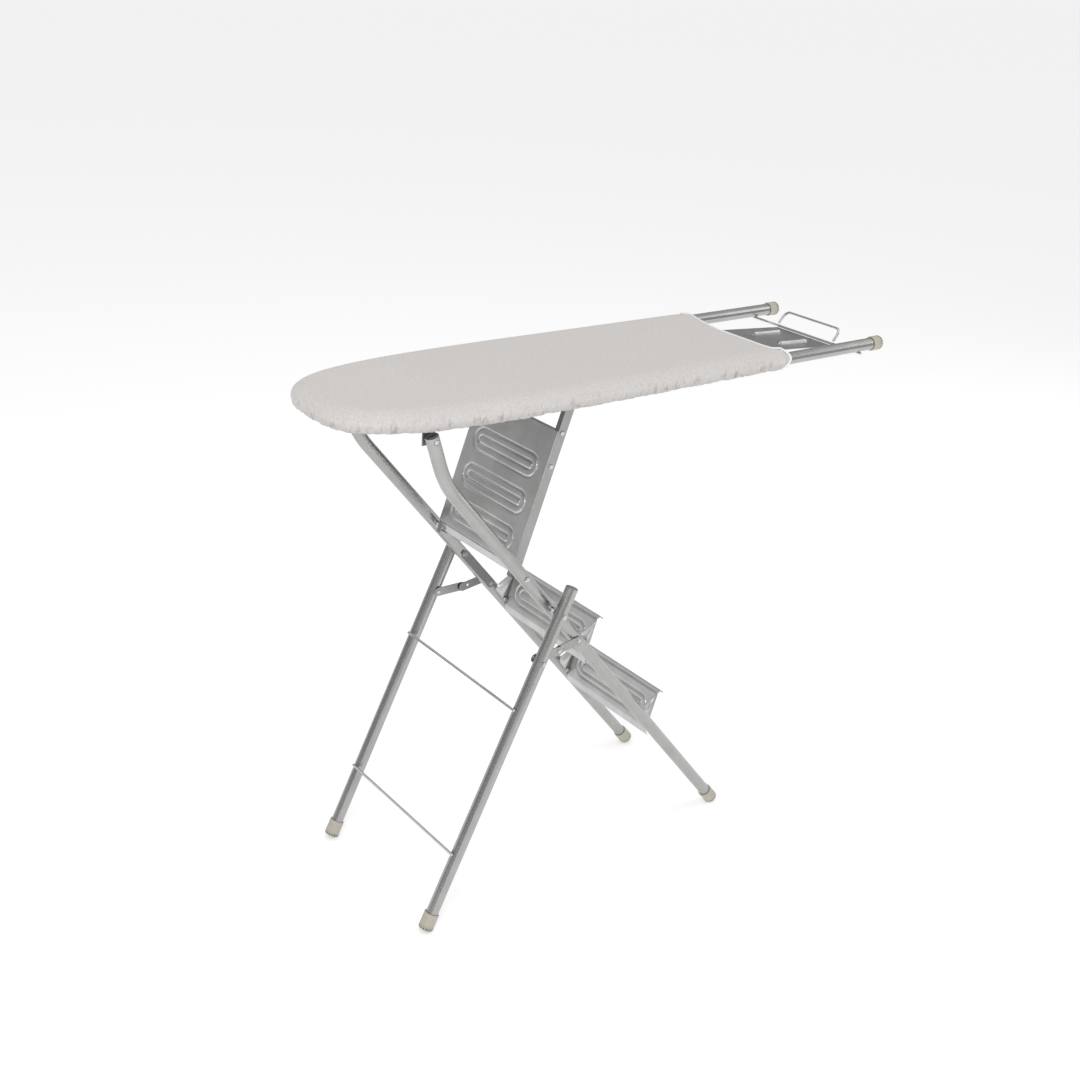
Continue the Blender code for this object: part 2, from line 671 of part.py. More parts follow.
def build_rails():
    end = RAIL_CAP_X - CAP_FLOOR - GAP
    for name, side in SIDES.items():
        y = side * RAIL_Y
        hollow_tube("board_rail_" + name, [(RAIL_START_X, y, RAIL_Z), (end, y, RAIL_Z)],
                    (RAIL_START_X, y, RAIL_Z))
        turned("rail_cap_" + name, cap_profile(RAIL_CAP_LENGTH), (RAIL_CAP_X, y, RAIL_Z),
               (-1.0, 0.0, 0.0), "cap_rubber")


def build_hinge():
    """Angle brackets under the deck, inside the ladder tubes, with one pin each."""
    ear = MAIN_Y - TUBE_R - GAP
    deck_under = DECK_TOP - DECK_THICK - GAP
    half = 0.011
    for name, side in SIDES.items():
        bm = bmesh.new()
        section = [(ear - 0.022, deck_under), (ear, deck_under), (ear, HINGE_Z - 0.010)]
        ends = []
        for x in (HINGE.x - half, HINGE.x + half):
            ends.append([bm.verts.new((x, side * y, z)) for y, z in section])
        for i in range(2):
            face = (ends[0][i], ends[0][i + 1], ends[1][i + 1], ends[1][i])
            bm.faces.new(face if side > 0 else tuple(reversed(face)))
        bracket = mesh_object("hinge_bracket_" + name, bm, "link_steel")
        thicken(bracket, 0.0020, -1.0)
        drill(bracket, HINGE.x, HINGE.z, side * (ear - 0.008), side * (ear + 0.004), 0.0046)
        inside = ear - 0.0020 - GAP
        body = [(0.0040, MAIN_Y + TUBE_R - 0.0005), (0.0040, inside), (0.0060, inside),
                (0.0052, inside - 0.0020)]
        rivet("hinge_pin_" + name, HINGE.x, HINGE.z, side, body)


def build_catches():
    """Stops under the deck that hold the platform's top rod."""
    rod = platform_point(CATCH_AT)
    deck_under = DECK_TOP - DECK_THICK - GAP
    left = rod.x - SHANK_R - 0.0006
    for name, side in SIDES.items():
        bm = bmesh.new()
        section = [(left - 0.020, deck_under), (left, deck_under), (left, rod.z - 0.007),
                   (left + 0.004, rod.z - 0.010)]
        ends = []
        for y in (side * 0.078, side * 0.092):
            ends.append([bm.verts.new((x, y, z)) for x, z in section])
        for i in range(3):
            bm.faces.new((ends[0][i], ends[0][i + 1], ends[1][i + 1], ends[1][i]))
        catch = mesh_object("catch_plate_" + name, bm, "link_steel")
        thicken(catch, 0.0015, -1.0)


def build_iron_rest():
    wire_z = RAIL_Z - TUBE_R - WIRE_R - GAP
    x = REST_WIRE_X
    tip = RAIL_Y + 0.006
    wire = [(x, -tip, wire_z), (x, tip, wire_z)]
    solid_wire("rest_cross_wire", wire, WIRE_R, (x, 0.0, wire_z))
    half = REST_HALF - 0.002
    lift = 0.0205
    lean = 0.017
    radius = 0.010
    base = wire_z + WIRE_R + GAP + WIRE_R
    foot = (x, base)
    corner = (x + lean, base + lift)
    loop = []
    for side in (-1.0, 1.0):
        part = [(foot[0], side * half, foot[1])]
        for i in range(5):
            angle = math.radians(90.0 * i / 4)
            rise = 1.0 - radius * (1 - math.sin(angle)) / lift
            y = half - radius * (1 - math.cos(angle))
            part.append((foot[0] + lean * rise, side * y, foot[1] + lift * rise))
        loop += part if side < 0 else list(reversed(part))
    solid_wire("rest_loop_wire", loop, WIRE_R, (corner[0], 0.0, corner[1]))

    deck_under = DECK_TOP - DECK_THICK - GAP
    bm = bmesh.new()
    section = [(REST_PLATE_X, deck_under), (REST_PLATE_X + 0.015, deck_under),
               (REST_PLATE_X + 0.021, 0.9060),
               (REST_WIRE_X - 0.001, wire_z - WIRE_R - GAP - 0.0004)]
    ends = []
    for y in (-REST_HALF, REST_HALF):
        ends.append([bm.verts.new((px, y, pz)) for px, pz in section])
    for i in range(3):
        bm.faces.new((ends[0][i], ends[1][i], ends[1][i + 1], ends[0][i + 1]))
    plate = mesh_object("rest_plate", bm, "step_steel")
    thicken(plate, 0.0010, -1.0)


build_ladder_tubes()
build_rear_legs()
for step_name in STEP_S:
    build_step(step_name)
build_leg_pivots()
build_spreader()
build_platform()
build_board_top()
build_binding()
build_rails()
build_hinge()
build_catches()
build_iron_rest()
bpy.context.view_layer.update()
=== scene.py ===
"""Looks of the folding ironing board with a step-ladder frame.

Metres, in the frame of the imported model: +Z up, +X from the round nose towards the iron
rest, the floor at z 0. Tubes, bars and rivets are the CAD nodes with new materials. The
cover, pad, piping, rubber caps, tube plugs, treads, platform panel and rest plate are new
pieces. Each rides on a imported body, and all but the plugs and the knot replace a CAD node.
"""

import json
import math

import bmesh
import bpy
from mathutils import Matrix, Vector, noise


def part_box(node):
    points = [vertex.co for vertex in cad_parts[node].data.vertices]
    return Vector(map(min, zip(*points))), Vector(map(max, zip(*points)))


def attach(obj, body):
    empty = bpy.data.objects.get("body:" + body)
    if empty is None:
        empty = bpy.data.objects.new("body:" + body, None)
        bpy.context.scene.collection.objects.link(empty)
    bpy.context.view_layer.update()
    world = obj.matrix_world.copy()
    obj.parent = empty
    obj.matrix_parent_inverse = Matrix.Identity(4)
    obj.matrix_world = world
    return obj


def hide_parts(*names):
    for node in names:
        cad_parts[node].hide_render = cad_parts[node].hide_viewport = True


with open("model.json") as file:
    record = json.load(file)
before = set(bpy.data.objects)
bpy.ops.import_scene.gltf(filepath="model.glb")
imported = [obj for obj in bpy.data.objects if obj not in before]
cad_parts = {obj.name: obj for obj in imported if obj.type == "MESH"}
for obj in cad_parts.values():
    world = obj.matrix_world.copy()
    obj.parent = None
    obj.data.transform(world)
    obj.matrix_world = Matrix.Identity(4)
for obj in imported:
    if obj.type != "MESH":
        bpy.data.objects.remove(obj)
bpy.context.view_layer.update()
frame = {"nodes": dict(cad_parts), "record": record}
NODES = frame["nodes"]
JOINTS = {joint["name"]: joint for joint in frame["record"]["behaviour"]["joints"]}
SIDES = ("left", "right")

NOSE_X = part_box("board_cover")[0][0]
TAIL_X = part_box("board_cover")[1][0]
COVER_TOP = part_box("board_cover")[1][2]
HEM_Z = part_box("board_cover")[0][2]


# ---------------------------------------------------------------- shader helpers
def principled(name, colour, roughness, metallic=0.0):
    mat = bpy.data.materials.new(name)
    mat.use_nodes = True
    bsdf = mat.node_tree.nodes["Principled BSDF"]
    bsdf.inputs["Base Color"].default_value = (*colour, 1.0)
    bsdf.inputs["Roughness"].default_value = roughness
    bsdf.inputs["Metallic"].default_value = metallic
    return mat, mat.node_tree, bsdf


def stretched_noise(tree, scale, detail=4.0, rough=0.6):
    """Noise in object metres; scale is one number, or one for each axis."""
    coords = tree.nodes.new("ShaderNodeTexCoord")
    mapping = tree.nodes.new("ShaderNodeMapping")
    mapping.inputs["Scale"].default_value = scale if hasattr(scale, "__len__") else (scale,) * 3
    tex = tree.nodes.new("ShaderNodeTexNoise")
    tex.inputs["Scale"].default_value = 1.0
    tex.inputs["Detail"].default_value = detail
    tex.inputs["Roughness"].default_value = rough
    tree.links.new(coords.outputs["Object"], mapping.inputs["Vector"])
    tree.links.new(mapping.outputs["Vector"], tex.inputs["Vector"])
    return tex.outputs["Fac"]


def remap(tree, value, low, high, to_low=0.0, to_high=1.0):
    node = tree.nodes.new("ShaderNodeMapRange")
    limits = {"From Min": low, "From Max": high, "To Min": to_low, "To Max": to_high}
    for socket, number in limits.items():
        node.inputs[socket].default_value = number
    tree.links.new(value, node.inputs["Value"])
    return node.outputs["Result"]


def blend_colours(tree, factor, first, second):
    """Mix of two colours; either can be a tuple or a socket."""
    node = tree.nodes.new("ShaderNodeMix")
    node.data_type = "RGBA"
    tree.links.new(factor, node.inputs["Factor"])
    for socket, colour in ((node.inputs[6], first), (node.inputs[7], second)):
        if isinstance(colour, tuple):
            socket.default_value = (*colour, 1.0)
        else:
            tree.links.new(colour, socket)
    return node.outputs[2]


def calc(tree, operation, a, b):
    node = tree.nodes.new("ShaderNodeMath")
    node.operation = operation
    for socket, value in zip(node.inputs, (a, b)):
        if isinstance(value, (int, float)):
            socket.default_value = value
        else:
            tree.links.new(value, socket)
    return node.outputs[0]


def bump(tree, bsdf, height, distance, strength=1.0):
    node = tree.nodes.new("ShaderNodeBump")
    node.inputs["Strength"].default_value = strength
    node.inputs["Distance"].default_value = distance
    tree.links.new(height, node.inputs["Height"])
    tree.links.new(node.outputs["Normal"], bsdf.inputs["Normal"])


def shade(colour, factor):
    return tuple(c * factor for c in colour)


# ---------------------------------------------------------------- materials
def satin_metal(name, colour, roughness, grain, metallic=1.0, tone=0.12):
    """Silver finish with a fine grain, slightly uneven in colour and gloss."""
    mat, tree, bsdf = principled(name, colour, roughness, metallic)
    fine = stretched_noise(tree, grain)
    patches = stretched_noise(tree, 22.0, 3.0)
    uneven = blend_colours(tree, remap(tree, patches, 0.3, 0.7), shade(colour, 1 - tone), colour)
    tree.links.new(uneven, bsdf.inputs["Base Color"])
    spread = calc(tree, "ADD", calc(tree, "MULTIPLY", fine, 0.16), roughness - 0.08)
    tree.links.new(spread, bsdf.inputs["Roughness"])
    bump(tree, bsdf, fine, 0.00003, 0.3)
    return mat


def cloth(name, light, dark):
    """Heathered plain weave; painted shade darkens the fold hollows of the skirt, and more painted
    shade darkens the cloth towards the hem.
    """
    mat, tree, bsdf = principled(name, light, 0.88)
    bsdf.inputs["Sheen Weight"].default_value = 0.22
    bsdf.inputs["Sheen Roughness"].default_value = 0.45
    along = stretched_noise(tree, (160.0, 1400.0, 1400.0), 3.0)
    across = stretched_noise(tree, (1400.0, 160.0, 1400.0), 3.0)
    threads = calc(tree, "ADD", along, across)
    mottled = stretched_noise(tree, 240.0, 4.0, 0.7)
    heather = calc(tree, "ADD", calc(tree, "MULTIPLY", threads, 0.5), mottled)
    fleck = remap(tree, heather, 0.72, 1.28)
    broad = remap(tree, stretched_noise(tree, 7.0, 2.0), 0.3, 0.7)
    woven = blend_colours(tree, fleck, dark, light)
    toned = blend_colours(tree, calc(tree, "MULTIPLY", broad, 0.22), woven, shade(dark, 1.06))
    coords = tree.nodes.new("ShaderNodeTexCoord")
    split = tree.nodes.new("ShaderNodeSeparateXYZ")
    tree.links.new(coords.outputs["Object"], split.inputs[0])
    skirt = remap(tree, split.outputs["Z"], COVER_TOP - 0.008, COVER_TOP - 0.026)
    folds = stretched_noise(tree, (120.0, 120.0, 46.0), 5.0, 0.6)
    hollows = remap(tree, folds, 0.46, 0.34)
    # painted shade: the hollows of the skirt's folds are darkened in colour, on top of the fold bump
    crease_shade_mask = calc(tree, "MULTIPLY", hollows, calc(tree, "MULTIPLY", skirt, 0.55))
    crease_shaded = blend_colours(tree, crease_shade_mask, toned, shade(dark, 0.40))
    # painted shade: the colour darkens from below the top edge down to the hem, where the hem turns
    # under the board
    hem_shade = remap(tree, split.outputs["Z"], COVER_TOP - 0.018, HEM_Z - 0.002, 0.0, 0.42)
    tree.links.new(blend_colours(tree, hem_shade, crease_shaded, shade(dark, 0.48)), bsdf.inputs["Base Color"])
    crinkle = calc(tree, "MULTIPLY", folds, skirt)
    height = calc(tree, "ADD", crinkle, calc(tree, "MULTIPLY", threads, 0.14))
    bump(tree, bsdf, height, 0.0026, 0.55)
    return mat


def matte(name, colour, roughness, scale, depth, spread=0.14):
    mat, tree, bsdf = principled(name, colour, roughness)
    grain = stretched_noise(tree, scale, 5.0, 0.65)
    uneven = blend_colours(tree, remap(tree, grain, 0.3, 0.7), shade(colour, 1 - spread), colour)
    tree.links.new(uneven, bsdf.inputs["Base Color"])
    bump(tree, bsdf, grain, depth, 0.6)
    return mat


TUBE = satin_metal("satin_tube", (0.42, 0.418, 0.414), 0.27, 700.0)
TREAD = satin_metal("brushed_tread", (0.60, 0.60, 0.595), 0.38, (900.0, 14.0, 900.0), tone=0.16)
LINK = satin_metal("plated_bar", (0.36, 0.358, 0.355), 0.30, 420.0)
RIVET = satin_metal("plated_rivet", (0.58, 0.58, 0.58), 0.24, 500.0)
WIRE = satin_metal("plated_wire", (0.60, 0.60, 0.60), 0.22, 500.0)
PLATE = satin_metal("rest_sheet", (0.40, 0.40, 0.40), 0.30, (14.0, 900.0, 900.0), tone=0.16)
DECK = satin_metal("painted_deck", (0.30, 0.30, 0.31), 0.5, 260.0, metallic=0.4)
CLOTH = cloth("cover_cotton", (0.690, 0.662, 0.642), (0.520, 0.497, 0.482))
PIPING = matte("white_piping", (0.86, 0.86, 0.85), 0.8, 900.0, 0.0002, 0.06)
FELT = matte("pad_felt", (0.74, 0.72, 0.68), 0.95, 600.0, 0.0005)
RUBBER = matte("beige_rubber", (0.50, 0.47, 0.395), 0.62, 450.0, 0.0001)
SOLE = matte("dark_rubber", (0.16, 0.15, 0.13), 0.7, 450.0, 0.0001)
PLUG = matte("grey_plug", (0.24, 0.24, 0.235), 0.55, 450.0, 0.0001)

NODE_MATERIALS = {
    "ladder_tube": TUBE, "rear_leg": TUBE, "board_rail": TUBE,
    "step": TREAD, "platform_panel": TREAD, "rest_plate": TREAD,
    "brace_bar": LINK, "leg_link": LINK, "frame_link": LINK, "platform_strut": LINK,
    "hinge_bracket": LINK, "catch_plate": LINK, "board_deck": DECK,
    "leg_rung": WIRE, "rest_cross_wire": WIRE, "rest_loop_wire": WIRE,
    "rear_leg_plug": PLUG, "rivet": RIVET, "pivot": RIVET, "pin": RIVET, "_rod": RIVET,
}


def paint_nodes():
    """Gives every CAD node its material: an exact stem first, then the longest matching word."""
    for name, obj in NODES.items():
        stem = name.removesuffix("_left").removesuffix("_right")
        words = [w for w in NODE_MATERIALS if w in stem]
        if not words:
            continue
        best = stem if stem in NODE_MATERIALS else max(words, key=len)
        if "rivet" in stem or "pivot" in stem:
            best = "rivet"
        for material_slot in obj.material_slots:
            material_slot.link = "OBJECT"
            material_slot.material = NODE_MATERIALS[best]


# ---------------------------------------------------------------- mesh helpers
def piece(name, bm, mat, body, smooth=35.0):
    mesh = bpy.data.meshes.new(name)
    bmesh.ops.recalc_face_normals(bm, faces=bm.faces)
    bm.to_mesh(mesh)
    bm.free()
    mesh.materials.append(mat)
    obj = bpy.data.objects.new(name, mesh)
    bpy.context.scene.collection.objects.link(obj)
    if smooth:
        mesh.shade_smooth()
        mesh.set_sharp_from_angle(angle=math.radians(smooth))
    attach(obj, body)
    return obj


def grid_faces(bm, rows, closed=False):
    """Quads between neighbouring rows of vertices."""
    for a, b in zip(rows, rows[1:]):
        pairs = list(zip(a, a[1:], b[1:], b))
        if closed:
            pairs.append((a[-1], a[0], b[0], b[-1]))
        for quad in pairs:
            if len(set(quad)) == 4:
                bm.faces.new(quad)


def thicken(obj, thickness, offset=-1.0):
    solid = obj.modifiers.new("thickness", "SOLIDIFY")
    solid.thickness = thickness
    solid.offset = offset


def wire(name, points, radius, mat, body, closed=False):
    """Round wire along a smoothed path, as a curve."""
    curve = bpy.data.curves.new(name, "CURVE")
    curve.dimensions = "3D"
    curve.bevel_depth = radius
    curve.bevel_resolution = 4
    curve.resolution_u = 6
    curve.use_fill_caps = True
    spline = curve.splines.new("NURBS")
    spline.points.add(len(points) - 1)
    for point, place in zip(spline.points, points):
        point.co = (*place, 1.0)
    spline.use_endpoint_u = True
    spline.use_cyclic_u = closed
    spline.order_u = 3
    curve.materials.append(mat)
    obj = bpy.data.objects.new(name, curve)
    bpy.context.scene.collection.objects.link(obj)
    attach(obj, body)
    return obj


def slope_frame(origin, angle):
    """Frame on a slope: X up along it, Y along its normal, Z across it."""
    along = Vector((math.cos(angle), 0.0, math.sin(angle)))
    normal = Vector((-math.sin(angle), 0.0, math.cos(angle)))
    matrix = Matrix((along, normal, along.cross(normal))).transposed().to_4x4()
    matrix.translation = origin
    return matrix


def node_middle(name):
    low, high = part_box(name)
    return (Vector(low) + Vector(high)) / 2


# ---------------------------------------------------------------- camera, light and floor
LENS = 48.14
CAMERA_AT = Vector((-1.5449, -1.8076, 1.6047))
HEADING = math.radians(51.44)
PITCH = math.radians(-23.57)
ROLL = math.radians(3.76)
LIT_POINT = Vector((0.0, 0.0, 0.5))
SOFTBOXES = (                    # name, place, size, watts
    ("key", (-2.6, -2.2, 2.6), (1.4, 1.8), 52.0),
    ("fill", (0.9, -3.4, 1.5), (1.0, 2.2), 9.0),
    ("side", (3.2, -0.9, 1.9), (1.4, 2.4), 20.0),
    ("top", (-0.4, 0.4, 3.6), (3.0, 3.0), 14.0),
)
FLOOR_HALF = 60.0
FLOOR_GLOW = 0.34


def build_camera():
    forward = Vector((math.cos(HEADING) * math.cos(PITCH), math.sin(HEADING) * math.cos(PITCH),
                      math.sin(PITCH)))
    level = Vector((math.sin(HEADING), -math.cos(HEADING), 0.0))
    upright = level.cross(forward)
    right = level * math.cos(ROLL) + upright * math.sin(ROLL)
    up = upright * math.cos(ROLL) - level * math.sin(ROLL)
    camera = bpy.data.objects.new("camera", bpy.data.cameras.new("camera"))
    camera.data.lens = LENS
    camera.data.sensor_width = 36.0
    camera.data.clip_end = 200.0
    camera.matrix_world = Matrix((right, up, -forward)).transposed().to_4x4()
    camera.location = CAMERA_AT
    bpy.context.scene.collection.objects.link(camera)
    bpy.context.scene.camera = camera


def softbox(name, place, size, power):
    light = bpy.data.lights.new(name, "AREA")
    light.shape = "RECTANGLE"
    light.size, light.size_y = size
    light.energy = power
    obj = bpy.data.objects.new(name, light)
    obj.location = place
    obj.rotation_euler = (LIT_POINT - Vector(place)).to_track_quat("-Z", "Y").to_euler()
    bpy.context.scene.collection.objects.link(obj)


def build_stage():
    mat, _, bsdf = principled("pale_floor", (0.86, 0.86, 0.86), 0.9)
    bsdf.inputs["Specular IOR Level"].default_value = 0.1
    bsdf.inputs["Emission Color"].default_value = (1.0, 1.0, 1.0, 1.0)
    bsdf.inputs["Emission Strength"].default_value = FLOOR_GLOW
    bm = bmesh.new()
    bmesh.ops.create_grid(bm, x_segments=1, y_segments=1, size=FLOOR_HALF)
    mesh = bpy.data.meshes.new("floor")
    bm.to_mesh(mesh)
    bm.free()
    mesh.materials.append(mat)
    floor = bpy.data.objects.new("floor", mesh)
    bpy.context.scene.collection.objects.link(floor)

    world = bpy.data.worlds.new("studio")
    world.use_nodes = True
    tree = world.node_tree
    coords = tree.nodes.new("ShaderNodeTexCoord")
    split = tree.nodes.new("ShaderNodeSeparateXYZ")
    tree.links.new(coords.outputs["Generated"], split.inputs[0])
    rise = remap(tree, split.outputs["Z"], 0.02, 0.72, 0.22, 0.72)
    background = tree.nodes["Background"]
    tree.links.new(rise, background.inputs["Color"])
    background.inputs["Strength"].default_value = 1.0
    bpy.context.scene.world = world

    for light in SOFTBOXES:
        softbox(*light)
    bpy.context.scene.view_settings.view_transform = "Standard"


# ---------------------------------------------------------------- rubber caps
CAP_SEGMENTS = 120
CAP_FLUTES = 30
FLUTE_DEPTH = 0.00045
CAP_RADIUS = 0.0132
CAP_BORE = 0.0112                # round the 22 mm tube
SOLE_NOTCHES = 15


def ribbed_cap(name, node, body, along, length=0.030):
    """Rubber ferrule: fluted cup, smooth collar round the tube and a notched sole."""
    centre = node_middle(node)
    radius = CAP_RADIUS
    inner = CAP_BORE
    profile = [(0.0085, 0.0, 0.0), (0.0100, 0.0006, 0.0), (0.0112, 0.0, 2.4),
               (radius - 0.0006, 0.0004, 2.8), (radius, 0.0022, 2.4), (radius, 0.0052, 0.7),
               (radius - 0.0009, 0.0058, 0.0), (radius - 0.0009, 0.0070, 0.0), (radius, 0.0076, 0.8),
               (radius - 0.0002, length - 0.0090, 0.8), (radius - 0.0006, length - 0.0078, 0.0),
               (radius, length - 0.0070, 0.0), (radius, length - 0.0012, 0.0),
               (radius - 0.0008, length, 0.0), (inner, length, 0.0), (inner, length - 0.010, 0.0)]
    bm = bmesh.new()
    rows = []
    for r, h, flute in profile:
        row = []
        for i in range(CAP_SEGMENTS):
            angle = 2 * math.pi * i / CAP_SEGMENTS
            groove = max(0.0, math.cos(CAP_FLUTES * angle)) * FLUTE_DEPTH * flute
            reach = r - groove
            row.append(bm.verts.new((reach * math.cos(angle), reach * math.sin(angle), h)))
        rows.append(row)
    grid_faces(bm, rows, closed=True)
    bm.faces.new(list(reversed(rows[0])))
    for face in bm.faces:
        middle = face.calc_center_median()
        phase = math.atan2(middle.y, middle.x) / (2 * math.pi) * SOLE_NOTCHES % 1.0
        if middle.z < 0.0012 or (middle.z < 0.0050 and phase < 0.42):
            face.material_index = 1
    turn = along.to_track_quat("Z", "Y").to_matrix().to_4x4()
    place = Matrix.Translation(centre - along * (length / 2))
    bmesh.ops.transform(bm, matrix=place @ turn, verts=bm.verts)
    cap = piece(name, bm, RUBBER, body, 40.0)
    cap.data.materials.append(SOLE)
    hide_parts(node)


LADDER_ANGLE = math.radians(50.0)
REAR_ANGLE = math.radians(65.14)
TUBE_TOP_ANGLE = math.radians(72.0)
TUBE_PAST_HINGE = 0.008
RAIL_CAP_LENGTH = 0.022


def build_caps():
    ladder = Vector((-math.cos(LADDER_ANGLE), 0.0, math.sin(LADDER_ANGLE)))
    rear = Vector((math.cos(REAR_ANGLE), 0.0, math.sin(REAR_ANGLE)))
    inward = Vector((-1.0, 0.0, 0.0))
    for side in SIDES:
        ribbed_cap("ladder_cap_" + side, "ladder_foot_cap_" + side, "ladder_frame", ladder)
        ribbed_cap("leg_cap_" + side, "rear_foot_cap_" + side, "rear_legs", rear)
        ribbed_cap("rail_end_cap_" + side, "rail_cap_" + side, "board", inward, RAIL_CAP_LENGTH)


PLUG_PROFILE = ((0.0098, -0.004), (0.0098, -0.0006), (0.0078, 0.0), (0.004, 0.0005))


def build_tube_plugs():
    """Low domes closing the open upper ends of the ladder tubes, under the cover's hem."""
    axis = Vector((-math.cos(TUBE_TOP_ANGLE), 0.0, math.sin(TUBE_TOP_ANGLE)))
    turn = axis.to_track_quat("Z", "Y").to_matrix().to_4x4()
    hinge = Vector(JOINTS["board_fold"]["pos_m"])
    for side in SIDES:
        top = hinge + axis * TUBE_PAST_HINGE
        top.y = node_middle("ladder_tube_" + side).y
        bm = bmesh.new()
        rows = []
        for radius, height in PLUG_PROFILE:
            angles = [math.radians(degrees) for degrees in range(0, 360, 10)]
            rows.append([bm.verts.new((radius * math.cos(a), radius * math.sin(a), height))
                         for a in angles])
        grid_faces(bm, rows, closed=True)
        bm.faces.new(rows[-1])
        bmesh.ops.transform(bm, matrix=Matrix.Translation(top) @ turn, verts=bm.verts)
        plug = piece("ladder_tube_plug_" + side, bm, TUBE, "ladder_frame")


# ---------------------------------------------------------------- pressed sheet
PLATFORM_ANGLE = math.radians(71.2)
STEP_ANGLE = math.radians(73.0)
PLATFORM_HALF = 0.109
PLATFORM_TOP = 0.243             # along the slope from its pivot
TONGUE_HALF = 0.098
SHEET = 0.0012
GROOVE_PITCH = 0.0012            # mesh spacing across the grooves
GROOVE_HALF = 0.0016
GROOVE_DEEP = 0.0021


def groove_depth(u, y, loops):
    """Height at (u, y) of stadium-shaped grooves: each is (centre u, half length, half height)."""
    best = 0.0
    for centre, half_long, half_high in loops:
        flat = max(0.0, abs(y) - (half_long - half_high))
        distance = abs(math.hypot(flat, u - centre) - half_high)
        if distance < GROOVE_HALF * 2.5:
            best = max(best, math.exp(-(distance / GROOVE_HALF) ** 2))
    return -best * GROOVE_DEEP


def pressed_panel(bm, stations, half, loops, pitch=0.0013):
    """Grid over (u, v) stations between -half and half, with grooves pressed in."""
    columns = max(2, int(round(2 * half / pitch)))
    rows = []
    for u, v in stations:
        row = []
        for i in range(columns + 1):
            y = -half + 2 * half * i / columns
            row.append(bm.verts.new((u, v + groove_depth(u, y, loops), y)))
        rows.append(row)
    grid_faces(bm, rows)


def between(start, end, pitch):
    count = max(1, int(round(abs(end - start) / pitch)))
    return [start + (end - start) * i / count for i in range(count + 1)]


def build_platform_panel():
    """Flat panel with three pairs of grooves, and a narrower tongue bent round its lower edge."""
    origin = Vector(JOINTS["platform_fold"]["pos_m"])
    face = 0.0100
    fold = 0.012
    loops = []
    for centre in (0.172, 0.108, 0.044):
        loops.append((centre, 0.087, 0.0200))
        loops.append((centre, 0.075, 0.0068))
    bm = bmesh.new()
    stations = [(u, face) for u in between(fold, PLATFORM_TOP, GROOVE_PITCH)]
    pressed_panel(bm, stations, PLATFORM_HALF, loops)
    strip = []
    for u, v in ((fold, face), (fold - 0.0035, face - 0.0004), (0.0050, face - 0.0021),
                 (-0.0025, face - 0.0052), (-0.0035, face - 0.0085), (-0.0036, face - 0.0110)):
        strip.append([bm.verts.new((u, v, y)) for y in between(-TONGUE_HALF, TONGUE_HALF, 0.014)])
    grid_faces(bm, strip)
    bmesh.ops.transform(bm, matrix=slope_frame(origin, PLATFORM_ANGLE), verts=bm.verts)
    panel = piece("platform_tread", bm, TREAD, "platform")
    thicken(panel, SHEET, -1.0)
    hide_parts("platform_panel")


STEP_S = {"lower": 0.285, "upper": 0.541}
STEP_HALF = 0.1192
STEP_FACE = 0.0072
FOOT_X = 0.2737


def build_steps():
    """Trays with a bent front strip, a rolled rear lip, pressed grooves and side flanges."""
    ladder = Vector((-math.cos(LADDER_ANGLE), 0.0, math.sin(LADDER_ANGLE)))
    lip_r = 0.0075
    back = 0.066
    loops = [(0.031, 0.100, 0.0200), (0.031, 0.088, 0.0085)]
    flange = [(0.012, 0.0220), (0.0205, 0.0345), (0.0255, 0.0398), (0.0320, 0.0410),
              (0.0380, 0.0375), (0.0470, 0.0285), (0.0620, 0.0125)]
    for name, along in STEP_S.items():
        origin = Vector((FOOT_X, 0.0, 0.0)) + ladder * along
        front = [(-0.0155, STEP_FACE - 0.0095), (-0.0150, STEP_FACE - 0.0070),
                 (-0.0140, STEP_FACE - 0.0045), (-0.0090, STEP_FACE - 0.0024),
                 (-0.0040, STEP_FACE - 0.0006)]
        lip = [(back + lip_r * math.sin(a), STEP_FACE - lip_r * (1 - math.cos(a)))
               for a in (math.radians(d) for d in range(15, 151, 15))]
        tread = [(u, STEP_FACE) for u in between(-0.002, back, GROOVE_PITCH)]
        bm = bmesh.new()
        pressed_panel(bm, front + tread + lip, STEP_HALF, loops)
        for end in (-STEP_HALF, STEP_HALF):
            inner = [bm.verts.new((u, STEP_FACE, end)) for u in (-0.002, 0.022, 0.045, back)]
            edge = [bm.verts.new((u, v, end)) for u, v in flange]
            bm.faces.new([inner[0]] + edge + list(reversed(inner[1:])))
        bmesh.ops.transform(bm, matrix=slope_frame(origin, STEP_ANGLE), verts=bm.verts)
        tray = piece("step_tray_" + name, bm, TREAD, "ladder_frame")
        thicken(tray, SHEET, 0.0)
        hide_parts("step_" + name)


# ---------------------------------------------------------------- board cover
HALF_WIDE = 0.1545
TAIL_HALF = 0.1480
NOSE_LENGTH = 0.43
NOSE_POWER = 3.3
TAIL_CORNER = 0.030
TAIL_MIDDLE = TAIL_X - 0.027     # top edge at the tail, away from the corners
EDGE_IN = 0.026                  # rounded edge: how far in and down it reaches
EDGE_DOWN = 0.018
EDGE_PITCH = 0.0022


